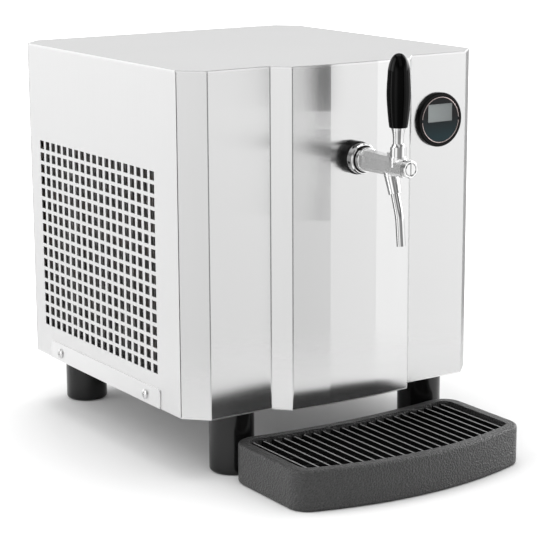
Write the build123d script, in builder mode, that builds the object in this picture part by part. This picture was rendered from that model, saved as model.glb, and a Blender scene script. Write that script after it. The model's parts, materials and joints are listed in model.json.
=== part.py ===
import os
from math import cos, radians, sin, sqrt, tan

from build123d import *

os.makedirs("parts", exist_ok=True)

# Countertop drink chiller with one lever tap. Millimetres, +Z up, the user stands at -Y.
# The origin is on the table, under the middle of everything that stands there.

# Cabinet of folded sheet
body_width = 380
body_depth = 387
body_height = 368
corner_chamfer = 23
sheet = 1.2
hem = 2.4
hem_edge = 0.8
fold_radius = 2
seam = 0.3
side_gap = 1.2
corner_relief = 1.2
lip_height = 14

# Raised centre of the front panel
relief_half_width = 76
relief_step_width = 15.5
relief_edge_rise = 18.5
relief_crown_half = 30
relief_crown_rise = 22

# Perforated field of both side panels
vent_columns = 19
vent_rows = 16
vent_pitch_y = 14.3
vent_pitch_z = 14
vent_width = 9.3
vent_height = 9.8
vent_offset = 12
vent_rise = 147.5

# Upturned flanges of the base and the screws in them
flange_length = 258
flange_offset = 2
flange_height = 21
flange_corner = 4
screw_rise = 9.3
screw_spacing = 201.5
screw_offset = 6.3
rear_screw_spacing = 240
screw_head_radius = 5.5
screw_head_height = 2.8
screw_radius = 2.5
screw_length = 9
recess_width = 1.4
recess_depth = 1.5
screw_clearance = 0.3

# Feet
foot_radius = 24.5
foot_height = 68
foot_inset_x = 63.5
foot_inset_y = 25.5
foot_edge = 4
foot_bolt_radius = 4
foot_bolt_length = 26
foot_bolt_head = 5.3
foot_bolt_hex = 7.5
bolt_clearance = 0.3

# Tap: distances are measured forward from the crown of the front panel
tap_rise = 268
shank_radius = 11
shank_bore_radius = 4
shank_tail = 60
shank_nose = 14.5
collar_radius = 17.7
collar_length = 10
collar_edge = 2.4
gasket_thickness = 1.5
nut_radius = 16.4
nut_length = 9
nut_edge_depth = 1
nut_edge_width = 1.6
nut_holes = 6
nut_hole_radius = 1.6
nut_hole_depth = 2.4
nut_hole_setback = 3.2
nut_hole_turn = 10
backnut_radius = 19
backnut_length = 7
thread_clearance = 0.3
shoulder_radius = 13.4
shoulder_length = 7
shoulder_edge = 1.2
root_width = 19.6
root_height = 21.2
tip_width = 17.2
tip_height = 18.4
body_corner = 4.2
body_end = 92
end_ring_radius = 9.1
tap_length = 99
plug_radius = 6.4
plug_length = 7
plug_slot = 1.6
plug_edge = 0.7
piston_radius = 5.5
piston_clearance = 0.06
valve_chamber_radius = 5.8
valve_chamber_start = 30
valve_seat_at = 54
valve_seat_length = 2
valve_orifice_radius = 3.7
valve_head_radius = 4.6
valve_head_length = 5
valve_seal_radius = 5.2
valve_seal_length = 2
valve_stem_radius = 2
guide_wall = 2.4
guide_nose = 4.8
guide_flat = 3
guide_vent = 1.2
lever_reach = 77
lever_pivot_rise = 19.2
lever_ball_radius = 7.2
lever_ball_clearance = 0.1
lever_waist_radius = 5.5
lever_waist_rise = 9.5
lever_flare_radius = 7.6
lever_flare_rise = 21.4
lever_flare_bow = 0.5
lever_stud_radius = 4
lever_stud_length = 38
lever_arm_radius = 2.2
lever_tip_radius = 3
lever_tip_clearance = 0.35
bonnet_radius = 8.3
bonnet_rim = 1.5
bonnet_seat_rise = 10.6
bonnet_pad_radius = 9.2
lug_width = 7
lug_length = 15
lug_rise = 13.4
lug_edge = 1.4
handle_length = 75.6
handle_profile = [(9.3, 0), (11.4, 17), (12.45, 36.5), (11.7, 52), (10, 65)]
handle_clearance = 0.1
nozzle_reach = 66.5
nozzle_lean = 19
nozzle_top_radius = 8.2
nozzle_end_radius = 6.8
nozzle_drop = 29
spout_radius = 4.7
spout_bore_radius = 3.7
spout_socket = 9
spout_clearance = 0.1
spout_bend_drop = 52
spout_end_drop = 82
spout_end_lean = 6
spout_bend_radius = 60

# Round temperature display
display_radius = 30
display_thickness = 4.5
display_offset = -0.25
display_rise = 295
display_edge = 1.6
barrel_radius = 25
barrel_length = 28
face_radius = 25.4
face_depth = 1.4
screen_width = 34
screen_height = 20
screen_rise = 7.6
display_nut_radius = 29
display_nut_length = 7
display_clearance = 0.15

# Loose drip tray and its grille
tray_width = 294
tray_depth = 146.5
tray_height = 44
tray_tuck = 9.5
tray_back_bow = 14
tray_front_bow = 27
tray_corner = 24
tray_rim = 12
tray_ledge = 3.5
tray_floor = 3
tray_edge = 3.5
grille_recess = 3
grille_thickness = 8
grille_frame = 3
grille_clearance = 0.6
slat_pitch = 12
slat_width = 2.2
rib_count = 3
rib_width = 3
rib_height = 4

# Condenser and its fan
condenser_inset = 22
condenser_end_room = 66
condenser_depth = 30
condenser_height = 220
fin_thickness = 0.5
fin_pitch = 6.5
condenser_runs = 8
condenser_run_pitch = 27
condenser_tube_radius = 4
condenser_bend_room = 15.5
tube_clearance = 0.15
shroud_gap = 4
shroud_flange_gap = 6
shroud_height = 262
fan_opening_radius = 95
fan_radius = 88
fan_hub_radius = 16
fan_hub_length = 20
fan_gap = 15
blade_count = 5
blade_thickness = 1.6
blade_root_chord = 26
blade_tip_chord = 52
blade_pitch = 30
blade_heel = 79
blade_toe = 84.5
motor_radius = 30
motor_length = 34
motor_edge = 1.2
motor_shaft_radius = 3
shaft_clearance = 0.05
bracket_width = 24
bracket_sheet = 2
bracket_half_height = 104
motor_boss_radius = 8
motor_boss_length = 3

# Cold block, its two coils and the insulation round it
cold_x = 50
cold_setback = 98
block_width = 116
block_depth = 40
coil_runs = 9
coil_pitch = 24
coil_radius = 4.75
coil_wall = 0.75
coil_side_room = 8
coil_end_room = 14
evaporator_runs = 8
evaporator_radius = 4
insulation_wall = 25
insulation_clearance = 0.5
probe_radius = 3
probe_depth = 60
probe_stand = 18

# Compressor and refrigerant lines
compressor_x = 62
compressor_radius = 66
compressor_height = 168
compressor_wall = 3.5
compressor_split = 96
compressor_dome = 34
compressor_foot_width = 160
compressor_foot_depth = 110
compressor_foot_sheet = 3
grommet_radius = 11
grommet_height = 12
grommet_hole = 4
stub_length = 8
discharge_rise = 106
discharge_offset = 30
line_radius = 4
line_wall = 1
line_bend = 10
line_stand = 14
liquid_line_radius = 3
capillary_radius = 1.3
drier_radius = 10
drier_length = 100
drier_taper = 14
drier_x = -46
suction_x = -60
terminal_width = 44
terminal_depth = 22
terminal_height = 56

# Drink inlet, power inlet, switch and control box on the rear panel
inlet_x = 146
inlet_rise = 270
inlet_thread_radius = 7.95
inlet_bore_radius = 3.5
inlet_flange_radius = 12
inlet_flange = 3
fitting_reach = 32
inlet_barb_radius = 5
inlet_barb_length = 20
inlet_inner_thread = 14
inlet_nut_length = 6
hose_radius = 7
hose_bore_radius = 5.15
hose_bend = 24
hose_turn = 14
hose_side_gap = 23
box_x = 8
box_width = 124
box_height = 100
box_depth = 52
box_rise = 222
box_wall = 2
gland_x = 38
gland_rise = 262
gland_hex_radius = 12
gland_hex_length = 6
gland_dome_length = 9
gland_dome_radius = 9
gland_thread_radius = 8
gland_thread_length = 12
gland_bore_radius = 4
switch_x = -18
switch_rise = 272
switch_width = 28
switch_height = 32
switch_bezel = 2
switch_body_inset = 2.5
switch_depth = 18
rocker_width = 17
rocker_half_height = 10
rocker_crest = 4.6
rocker_valley = 2.4
rocker_back = 5
rocker_play = 1.5
rocker_tilt = 10
rocker_sink = 2
trunnion_radius = 1.5
trunnion_length = 2
wire_radius = 2.2
wire_bend = 12

# Places worked out from the sizes above
tray_reach = relief_crown_rise - tray_tuck + tray_depth
side_x = body_width / 2
front_y = (tray_reach - body_depth - fitting_reach) / 2
back_y = front_y + body_depth
middle_y = front_y + body_depth / 2
crown_y = front_y - relief_crown_rise
floor_z = foot_height + sheet
roof_z = foot_height + body_height
wall_top_z = roof_z - hem
wall_height = wall_top_z - floor_z
relief_outer = relief_half_width + relief_step_width
flat_outer = side_x - corner_chamfer
tap_z = foot_height + tap_rise
pivot_z = tap_z + lever_pivot_rise
lever_y = crown_y - lever_reach
vent_y = middle_y + vent_offset
vent_z = foot_height + vent_rise
rear_inside_y = back_y - sheet


def save(piece, name):
    piece.part.label = name
    export_step(piece.part, f"parts/{name}.step")


def bent_tube(points, bend, outer_radius, bore_radius=0):
    with BuildPart() as tube:
        with BuildLine() as route:
            FilletPolyline(*points, radius=bend)
        with BuildSketch(Plane(origin=points[0], z_dir=route.wires()[0] % 0)):
            Circle(outer_radius)
            if bore_radius > 0:
                Circle(bore_radius, mode=Mode.SUBTRACT)
        sweep()
    return tube


# Plan of the cabinet: chamfered corners, and the folded relief along the front
right_front = [
    (relief_crown_half, crown_y),
    (relief_half_width, front_y - relief_edge_rise),
    (relief_outer, front_y),
    (flat_outer, front_y),
    (side_x, front_y + corner_chamfer),
]
right_half = right_front + [(side_x, back_y - corner_chamfer), (flat_outer, back_y)]
left_half = [(-x, y) for x, y in reversed(right_half)]
with BuildSketch() as cabinet_plan:
    with BuildLine():
        Polyline(*right_half, *left_half, close=True)
    make_face()
    fillet(cabinet_plan.vertices(), fold_radius)

side_seam_front = front_y + corner_chamfer + side_gap
side_seam_back = back_y - corner_chamfer - side_gap
side_length = side_seam_back - side_seam_front
seam_corners = [(x, y) for x in (-side_x, side_x) for y in (side_seam_front, side_seam_back)]
side_screws_y = [vent_y - screw_offset + side * screw_spacing / 2 for side in (-1, 1)]
screw_z = foot_height + screw_rise
rear_screw_z = [screw_z, wall_top_z - lip_height / 2]

# Base: the floor plate, side flanges turned up outside the panels, a lip turned up inside the rear
flange_y = middle_y + flange_offset
foot_x = side_x - foot_inset_x
foot_front_y = front_y + foot_inset_y
foot_back_y = back_y - foot_inset_y
foot_places = {
    "front_left": (-foot_x, foot_front_y),
    "front_right": (foot_x, foot_front_y),
    "rear_left": (-foot_x, foot_back_y),
    "rear_right": (foot_x, foot_back_y),
}
flange_width = body_width + 2 * sheet
with BuildPart() as base_tray:
    with BuildSketch(Plane.XY.offset(foot_height)):
        add(cabinet_plan.sketch)
        with Locations((0, flange_y)):
            Rectangle(flange_width, flange_length)
        with Locations(*foot_places.values()):
            Circle(foot_bolt_radius + bolt_clearance, mode=Mode.SUBTRACT)
    extrude(amount=sheet)
    for side in (-1, 1):
        flange_plane = Plane.YZ.offset(side * (side_x + sheet / 2) - sheet / 2)
        with BuildSketch(flange_plane) as flange:
            with Locations((flange_y, foot_height + flange_height / 2)):
                Rectangle(flange_length, flange_height)
            fillet(flange.vertices().group_by(Axis.Z)[-1], flange_corner)
            with Locations(*[(y, screw_z) for y in side_screws_y]):
                Circle(screw_radius + screw_clearance, mode=Mode.SUBTRACT)
        extrude(amount=sheet)
    with BuildSketch(Plane.XZ.offset(seam - rear_inside_y)):
        with Locations((0, floor_z + lip_height / 2)):
            Rectangle(rear_screw_spacing + 4 * lip_height, lip_height)
        with Locations(*[(side * rear_screw_spacing / 2, screw_z) for side in (-1, 1)]):
            Circle(screw_radius + screw_clearance, mode=Mode.SUBTRACT)
    extrude(amount=sheet)
save(base_tray, "base_tray")

# Front panel, one folded sheet that reaches round both front corners
display_x = (relief_outer + flat_outer) / 2 + display_offset
display_z = foot_height + display_rise
with BuildPart() as front_panel:
    with BuildSketch(Plane.XY.offset(floor_z)):
        add(cabinet_plan.sketch)
        offset(amount=-sheet, kind=Kind.INTERSECTION, mode=Mode.SUBTRACT)
        with Locations((0, front_y + corner_chamfer)):
            Rectangle(body_width, body_depth, align=(Align.CENTER, Align.MAX), mode=Mode.INTERSECT)
    extrude(amount=wall_height)
    with BuildSketch(Plane.XZ.offset(-crown_y)):
        with Locations((0, tap_z)):
            Circle(shank_radius + thread_clearance)
    extrude(amount=-2 * sheet, mode=Mode.SUBTRACT)
    with BuildSketch(Plane.XZ.offset(-front_y)):
        with Locations((display_x, display_z)):
            Circle(barrel_radius + thread_clearance)
    extrude(amount=-2 * sheet, mode=Mode.SUBTRACT)
save(front_panel, "front_panel")

# Side panels, flat and perforated
for hand, panel_x in (("left", -side_x), ("right", side_x - sheet)):
    with BuildPart() as side_panel:
        with BuildSketch(Plane.YZ.offset(panel_x)):
            with Locations(((side_seam_front + side_seam_back) / 2, floor_z + wall_height / 2)):
                Rectangle(side_length, wall_height)
            with Locations((vent_y, vent_z)):
                with GridLocations(vent_pitch_y, vent_pitch_z, vent_columns, vent_rows):
                    Rectangle(vent_width, vent_height, mode=Mode.SUBTRACT)
            with Locations(*[(y, screw_z) for y in side_screws_y]):
                Circle(screw_radius + screw_clearance, mode=Mode.SUBTRACT)
        extrude(amount=sheet)
    save(side_panel, f"{hand}_side_panel")

# Rear panel, with the openings for inlet, gland and switch
inlet_z = foot_height + inlet_rise
gland_z = foot_height + gland_rise
switch_z = foot_height + switch_rise
switch_body_width = switch_width - 2 * switch_body_inset
switch_body_height = switch_height - 2 * switch_body_inset
rear_screw_places = [
    (side * rear_screw_spacing / 2, z) for side in (-1, 1) for z in rear_screw_z
]
with BuildPart() as rear_panel:
    with BuildSketch(Plane.XY.offset(floor_z)):
        add(cabinet_plan.sketch)
        offset(amount=-sheet, kind=Kind.INTERSECTION, mode=Mode.SUBTRACT)
        with Locations((0, back_y - corner_chamfer)):
            Rectangle(body_width, body_depth, align=(Align.CENTER, Align.MIN), mode=Mode.INTERSECT)
    extrude(amount=wall_height)
    with BuildSketch(Plane.XZ.offset(-back_y)):
        with Locations((inlet_x, inlet_z)):
            Circle(inlet_thread_radius + thread_clearance)
        with Locations((gland_x, gland_z)):
            Circle(gland_thread_radius + thread_clearance)
        with Locations((switch_x, switch_z)):
            Rectangle(switch_body_width + 2 * seam, switch_body_height + 2 * seam)
        with Locations(*rear_screw_places):
            Circle(screw_radius + screw_clearance)
    extrude(amount=2 * sheet, mode=Mode.SUBTRACT)
save(rear_panel, "rear_panel")

# Top panel: hemmed edge, bend reliefs over the side seams, and a lip that drops inside the walls
with BuildPart() as top_panel:
    with BuildSketch(Plane.XY.offset(wall_top_z)):
        add(cabinet_plan.sketch)
    extrude(amount=hem)
    fillet(top_panel.edges().group_by(Axis.Z)[-1], hem_edge)
    with BuildSketch(Plane.XY.offset(wall_top_z)):
        with Locations(*seam_corners):
            Circle(corner_relief)
    extrude(amount=hem, mode=Mode.SUBTRACT)
    with BuildSketch(Plane.XY.offset(wall_top_z)):
        with BuildSketch(mode=Mode.PRIVATE) as inside:
            add(cabinet_plan.sketch)
            offset(amount=-sheet - seam, kind=Kind.INTERSECTION, mode=Mode.REPLACE)
        add(inside.sketch)
        offset(amount=-sheet, kind=Kind.INTERSECTION, mode=Mode.SUBTRACT)
    extrude(amount=-lip_height)
    with BuildSketch(Plane.XZ.offset(-back_y)):
        with Locations(*[place for place in rear_screw_places if place[1] > tap_z]):
            Circle(screw_radius + screw_clearance)
    extrude(amount=3 * sheet, mode=Mode.SUBTRACT)
save(top_panel, "top_panel")

# Pan head screws through the side flanges and the rear panel
screw_planes = [
    Plane(origin=(side * (side_x + sheet), y, screw_z), x_dir=(0, 1, 0), z_dir=(side, 0, 0))
    for side in (-1, 1)
    for y in side_screws_y
]
screw_planes += [
    Plane(origin=(x, back_y, z), x_dir=(1, 0, 0), z_dir=(0, 1, 0)) for x, z in rear_screw_places
]
with BuildPart() as cover_screws:
    with BuildSketch(*screw_planes):
        Circle(screw_head_radius)
    extrude(amount=screw_head_height)
    with BuildSketch(*screw_planes):
        Circle(screw_radius)
    extrude(amount=-screw_length)
    with BuildSketch(*[seat.offset(screw_head_height) for seat in screw_planes]):
        Rectangle(screw_head_radius, recess_width)
        Rectangle(recess_width, screw_head_radius)
    extrude(amount=-recess_depth, mode=Mode.SUBTRACT)
save(cover_screws, "cover_screws")

# Feet and the bolts that hold them to the base
for corner, place in foot_places.items():
    with BuildPart() as foot:
        with BuildSketch():
            with Locations(place):
                Circle(foot_radius)
        extrude(amount=foot_height)
        fillet(foot.edges().group_by(Axis.Z)[0], foot_edge)
        with BuildSketch(Plane.XY.offset(foot_height)):
            with Locations(place):
                Circle(foot_bolt_radius + bolt_clearance)
        extrude(amount=-foot_bolt_length, mode=Mode.SUBTRACT)
    save(foot, f"foot_{corner}")

with BuildPart() as foot_bolts:
    with BuildSketch(Plane.XY.offset(floor_z)):
        with Locations(*foot_places.values()):
            RegularPolygon(foot_bolt_hex, 6)
    extrude(amount=foot_bolt_head)
    with BuildSketch(Plane.XY.offset(floor_z)):
        with Locations(*foot_places.values()):
            Circle(foot_bolt_radius)
    extrude(amount=-foot_bolt_length)
save(foot_bolts, "foot_bolts")


# Tap, built on planes square to its axis
def tap_plane(distance):
    return Plane(origin=(0, crown_y - distance, tap_z), x_dir=(1, 0, 0), z_dir=(0, -1, 0))


tail_start = shank_nose + gasket_thickness
nut_end = collar_length + nut_length
shoulder_end = nut_end + shoulder_length
nut_bore_radius = shank_radius + thread_clearance

with BuildPart() as shank:
    with BuildSketch(tap_plane(-shank_tail)):
        Circle(shank_radius)
        Circle(shank_bore_radius, mode=Mode.SUBTRACT)
    extrude(amount=shank_tail + shank_nose)
    with BuildSketch(tap_plane(-shank_tail)):
        Circle(coil_radius + tube_clearance)
    extrude(amount=shank_radius, mode=Mode.SUBTRACT)
save(shank, "shank")

with BuildPart() as shank_collar:
    with BuildSketch(tap_plane(0)):
        Circle(collar_radius)
    extrude(amount=collar_length)
    fillet(shank_collar.edges().group_by(Axis.Y)[0], collar_edge)
    with BuildSketch(tap_plane(0)):
        Circle(nut_bore_radius)
    extrude(amount=collar_length, mode=Mode.SUBTRACT)
save(shank_collar, "shank_collar")

with BuildPart() as shank_backnut:
    with BuildSketch(tap_plane(-sheet)):
        RegularPolygon(backnut_radius, 6)
        Circle(nut_bore_radius, mode=Mode.SUBTRACT)
    extrude(amount=-backnut_length)
save(shank_backnut, "shank_backnut")

with BuildPart() as tail_gasket:
    with BuildSketch(tap_plane(shank_nose)):
        Circle(shank_radius)
        Circle(shank_bore_radius, mode=Mode.SUBTRACT)
    extrude(amount=gasket_thickness)
save(tail_gasket, "tail_gasket")

with BuildPart() as coupling_nut:
    with BuildSketch(tap_plane(collar_length)):
        Circle(nut_radius)
    extrude(amount=nut_length)
    chamfer(coupling_nut.edges().group_by(Axis.Y)[0], nut_edge_width, nut_edge_depth)
    with BuildSketch(tap_plane(collar_length)):
        Circle(nut_bore_radius)
    extrude(amount=nut_length, mode=Mode.SUBTRACT)
    for step in range(nut_holes):
        turn = radians(nut_hole_turn + step * 360 / nut_holes)
        outward = Vector(cos(turn), 0, sin(turn))
        hole_mouth = Vector(0, crown_y - collar_length - nut_hole_setback, tap_z) + outward * nut_radius
        with BuildSketch(Plane(origin=hole_mouth, z_dir=outward)):
            Circle(nut_hole_radius)
        extrude(amount=-nut_hole_depth, mode=Mode.SUBTRACT)
save(coupling_nut, "coupling_nut")

# Tap body: tail, shoulder, tapered flat-sided barrel, end ring and leaning nozzle
nozzle_dir = Vector(0, -sin(radians(nozzle_lean)), -cos(radians(nozzle_lean)))
nozzle_root = Vector(0, crown_y - nozzle_reach, tap_z - root_height / 2)
nozzle_start = nozzle_root - nozzle_dir * (root_height / 3)
nozzle_end = nozzle_root + nozzle_dir * ((nozzle_drop - root_height / 2) / cos(radians(nozzle_lean)))
nozzle_length = (nozzle_end - nozzle_start).length
bore_start = valve_seat_at + valve_seat_length
bonnet_seat_z = tap_z + bonnet_seat_rise
arm_slot_width = 2 * lever_tip_radius + 2 * lever_tip_clearance
arm_slot_length = 2 * lever_ball_radius + lever_arm_radius
with BuildPart() as tap_body:
    with BuildSketch(tap_plane(tail_start)):
        Circle(shank_radius)
    extrude(amount=nut_end - tail_start)
    with BuildSketch(tap_plane(nut_end)):
        Circle(shoulder_radius)
    extrude(amount=shoulder_length)
    fillet(tap_body.edges().group_by(Axis.Y)[0], shoulder_edge)
    with BuildSketch(tap_plane(shoulder_end)) as root_section:
        Rectangle(root_width, root_height)
        chamfer(root_section.vertices(), body_corner)
    with BuildSketch(tap_plane(body_end)) as tip_section:
        Rectangle(tip_width, tip_height)
        chamfer(tip_section.vertices(), body_corner)
    loft()
    with BuildSketch(tap_plane(body_end)):
        Circle(end_ring_radius)
    extrude(amount=tap_length - body_end)
    with BuildSketch(Plane(origin=(0, lever_y, tap_z), z_dir=(0, 0, 1))):
        Circle(bonnet_pad_radius)
    extrude(amount=bonnet_seat_rise)
    with BuildSketch(Plane(origin=(0, lever_y, tap_z), z_dir=(0, 0, 1))) as lug:
        with Locations((0, lug_length / 2)):
            Rectangle(lug_width, lug_length)
        fillet(lug.vertices().group_by(Axis.Y)[-1], lug_edge)
        Circle(bonnet_radius + seam, mode=Mode.SUBTRACT)
    extrude(amount=lug_rise)
    with BuildSketch(Plane(origin=nozzle_start, z_dir=nozzle_dir)):
        Circle(nozzle_top_radius)
    with BuildSketch(Plane(origin=nozzle_end, z_dir=nozzle_dir)):
        Circle(nozzle_end_radius)
    loft()
    with BuildSketch(tap_plane(tail_start)):
        Circle(shank_bore_radius)
    extrude(amount=valve_chamber_start - tail_start, mode=Mode.SUBTRACT)
    with BuildSketch(tap_plane(valve_chamber_start)):
        Circle(valve_chamber_radius)
    extrude(amount=valve_seat_at - valve_chamber_start, mode=Mode.SUBTRACT)
    with BuildSketch(tap_plane(valve_seat_at)):
        Circle(valve_orifice_radius)
    extrude(amount=valve_seat_length, mode=Mode.SUBTRACT)
    with BuildSketch(tap_plane(bore_start)):
        Circle(piston_radius + piston_clearance)
    extrude(amount=tap_length - plug_length - bore_start, mode=Mode.SUBTRACT)
    with BuildSketch(tap_plane(tap_length)):
        Circle(plug_radius + tube_clearance)
    extrude(amount=-plug_length, mode=Mode.SUBTRACT)
    chamfer(tap_body.edges().group_by(Axis.Y)[0], plug_edge)
    with BuildSketch(Plane(origin=(0, lever_y, tap_z), z_dir=(0, 0, 1))):
        Rectangle(arm_slot_width, arm_slot_length)
    extrude(amount=bonnet_seat_rise, mode=Mode.SUBTRACT)
    with BuildSketch(Plane(origin=nozzle_start, z_dir=nozzle_dir)):
        Circle(spout_bore_radius)
    extrude(amount=nozzle_length, mode=Mode.SUBTRACT)
    with BuildSketch(Plane(origin=nozzle_end, z_dir=nozzle_dir)):
        Circle(spout_radius + spout_clearance)
    extrude(amount=-spout_socket, mode=Mode.SUBTRACT)
save(tap_body, "tap_body")

# Bonnet that carries the lever's ball
with BuildPart() as tap_bonnet:
    with BuildSketch(Plane(origin=(0, lever_y, bonnet_seat_z), z_dir=(0, 0, 1))):
        Circle(bonnet_radius)
        Rectangle(arm_slot_width, 2 * lever_waist_radius, mode=Mode.SUBTRACT)
    extrude(amount=pivot_z + bonnet_rim - bonnet_seat_z)
    with Locations((0, lever_y, pivot_z)):
        Sphere(lever_ball_radius + lever_ball_clearance, mode=Mode.SUBTRACT)
save(tap_bonnet, "tap_bonnet")

# Lever: arm with a round tip, ball, waisted ferrule and the stud for the handle
ball_neck_rise = sqrt(lever_ball_radius**2 - lever_waist_radius**2)
arm_neck_drop = sqrt(lever_ball_radius**2 - lever_arm_radius**2)
tip_neck_rise = sqrt(lever_tip_radius**2 - lever_arm_radius**2)
flare_bow = (lever_waist_radius + lever_flare_radius) / 2 - lever_flare_bow
with BuildPart() as tap_lever:
    with BuildSketch(Plane(origin=(0, lever_y, pivot_z), x_dir=(1, 0, 0), z_dir=(0, -1, 0))):
        with BuildLine():
            tip = CenterArc((0, -lever_pivot_rise), lever_tip_radius, -90, 90)
            tip_end = (lever_arm_radius, -lever_pivot_rise + tip_neck_rise)
            RadiusArc(tip @ 1, tip_end, -lever_tip_radius)
            Line(tip_end, (lever_arm_radius, -arm_neck_drop))
            ThreePointArc(
                (lever_arm_radius, -arm_neck_drop),
                (lever_ball_radius, 0),
                (lever_waist_radius, ball_neck_rise),
            )
            Line((lever_waist_radius, ball_neck_rise), (lever_waist_radius, lever_waist_rise))
            flare = ThreePointArc(
                (lever_waist_radius, lever_waist_rise),
                (flare_bow, (lever_waist_rise + lever_flare_rise) / 2),
                (lever_flare_radius, lever_flare_rise),
            )
            Polyline(
                flare @ 1,
                (lever_stud_radius, lever_flare_rise),
                (lever_stud_radius, lever_flare_rise + lever_stud_length),
                (0, lever_flare_rise + lever_stud_length),
                (0, -lever_pivot_rise - lever_tip_radius),
            )
        make_face()
    revolve(axis=Axis((0, lever_y, pivot_z), (0, 0, 1)))
save(tap_lever, "tap_lever")

# Handle grip: swells to its belly and closes in a dome
handle_z = pivot_z + lever_flare_rise
with BuildPart() as lever_handle:
    with BuildSketch(Plane(origin=(0, lever_y, handle_z), x_dir=(1, 0, 0), z_dir=(0, -1, 0))):
        with BuildLine():
            Line((0, 0), handle_profile[0])
            grip = Spline(*handle_profile, (0, handle_length), tangents=((0.2, 1), (-1, 0)))
            Line(grip @ 1, (0, 0))
        make_face()
    revolve(axis=Axis((0, lever_y, handle_z), (0, 0, 1)))
    with BuildSketch(Plane(origin=(0, lever_y, handle_z), z_dir=(0, 0, 1))):
        Circle(lever_stud_radius + handle_clearance)
    extrude(amount=lever_stud_length + handle_clearance, mode=Mode.SUBTRACT)
save(lever_handle, "lever_handle")

# Valve piston: slotted guide for the lever's tip, stem, and the head behind the seat
slot_length = 2 * lever_tip_radius + 2 * lever_tip_clearance
guide_start = lever_reach - slot_length / 2 - guide_wall
guide_end = lever_reach + slot_length / 2 + guide_nose
head_end = valve_seat_at - valve_seal_length
with BuildPart() as valve_piston:
    with BuildSketch(tap_plane(guide_start)):
        Circle(piston_radius)
    extrude(amount=guide_end - guide_start)
    with BuildSketch(tap_plane(guide_start)):
        with Locations((valve_stem_radius + guide_vent, 0), (-valve_stem_radius - guide_vent, 0)):
            Rectangle(guide_vent, 2 * piston_radius)
    extrude(amount=guide_vent, mode=Mode.SUBTRACT)
    with BuildSketch(tap_plane(lever_reach - slot_length / 2)):
        with Locations((0, -lever_tip_radius - lever_tip_clearance)):
            Rectangle(3 * piston_radius, 3 * piston_radius, align=(Align.CENTER, Align.MIN))
    extrude(amount=slot_length, mode=Mode.SUBTRACT)
    with BuildSketch(tap_plane(lever_reach)):
        with Locations((0, guide_flat)):
            Rectangle(3 * piston_radius, 3 * piston_radius, align=(Align.CENTER, Align.MIN))
    extrude(amount=guide_end - lever_reach, mode=Mode.SUBTRACT)
    with BuildSketch(tap_plane(head_end - valve_head_length)):
        Circle(valve_stem_radius)
    extrude(amount=guide_start - head_end + valve_head_length)
    with BuildSketch(tap_plane(head_end - valve_head_length)):
        Circle(valve_head_radius)
    extrude(amount=valve_head_length)
save(valve_piston, "valve_piston")

with BuildPart() as valve_seal:
    with BuildSketch(tap_plane(head_end)):
        Circle(valve_seal_radius)
        Circle(valve_stem_radius + tube_clearance, mode=Mode.SUBTRACT)
    extrude(amount=valve_seal_length)
save(valve_seal, "valve_seal")

with BuildPart() as end_plug:
    with BuildSketch(tap_plane(tap_length)):
        Circle(plug_radius)
    extrude(amount=-plug_length)
    chamfer(end_plug.edges().group_by(Axis.Y)[0], plug_edge)
    with BuildSketch(tap_plane(tap_length)):
        Rectangle(plug_slot, 2 * plug_radius)
    extrude(amount=-plug_slot, mode=Mode.SUBTRACT)
save(end_plug, "end_plug")

# Spout tube: starts in the nozzle's socket and bends towards the vertical
spout_top = nozzle_end - nozzle_dir * spout_socket
spout_bend_run = (spout_bend_drop - nozzle_drop) / cos(radians(nozzle_lean))
spout_corner = nozzle_end + nozzle_dir * spout_bend_run
spout_end_run = spout_end_drop - spout_bend_drop
spout_end = spout_corner + Vector(0, -spout_end_run * tan(radians(spout_end_lean)), -spout_end_run)
spout_tube = bent_tube(
    [spout_top, spout_corner, spout_end], spout_bend_radius, spout_radius, spout_bore_radius
)
save(spout_tube, "spout_tube")


# Round display, seated in a hole of the right flat of the front panel
def display_plane(distance):
    return Plane(
        origin=(display_x, front_y - distance, display_z), x_dir=(1, 0, 0), z_dir=(0, -1, 0)
    )


with BuildPart() as display_housing:
    with BuildSketch(display_plane(0)):
        Circle(display_radius)
    extrude(amount=display_thickness)
    fillet(display_housing.edges().group_by(Axis.Y)[0], display_edge)
    with BuildSketch(display_plane(0)):
        Circle(barrel_radius)
    extrude(amount=-barrel_length)
    with BuildSketch(display_plane(display_thickness)):
        Circle(face_radius)
    extrude(amount=-face_depth, mode=Mode.SUBTRACT)
save(display_housing, "display_housing")

face_bottom = display_thickness - face_depth
with BuildPart() as display_window:
    with BuildSketch(display_plane(face_bottom)):
        Circle(face_radius - display_clearance)
        with Locations((0, screen_rise)):
            Rectangle(screen_width, screen_height, mode=Mode.SUBTRACT)
    extrude(amount=face_depth)
save(display_window, "display_window")

with BuildPart() as display_screen:
    with BuildSketch(display_plane(face_bottom)):
        with Locations((0, screen_rise)):
            Rectangle(screen_width - 2 * display_clearance, screen_height - 2 * display_clearance)
    extrude(amount=face_depth / 2)
save(display_screen, "display_screen")

with BuildPart() as display_nut:
    with BuildSketch(display_plane(-sheet)):
        Circle(display_nut_radius)
        Circle(barrel_radius + thread_clearance, mode=Mode.SUBTRACT)
    extrude(amount=-display_nut_length)
save(display_nut, "display_nut")

# Drip tray: a bowed basin with a ledge for the grille
tray_back_y = crown_y + tray_tuck
tray_front_y = tray_back_y - tray_depth
tray_end_x = tray_width / 2
with BuildSketch() as tray_plan:
    with BuildLine():
        back_edge = ThreePointArc(
            (-tray_end_x, tray_back_y + tray_back_bow),
            (0, tray_back_y),
            (tray_end_x, tray_back_y + tray_back_bow),
        )
        front_edge = ThreePointArc(
            (-tray_end_x, tray_front_y + tray_front_bow),
            (0, tray_front_y),
            (tray_end_x, tray_front_y + tray_front_bow),
        )
        Line(back_edge @ 0, front_edge @ 0)
        Line(back_edge @ 1, front_edge @ 1)
    make_face()
    fillet(tray_plan.vertices(), tray_corner)

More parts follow.
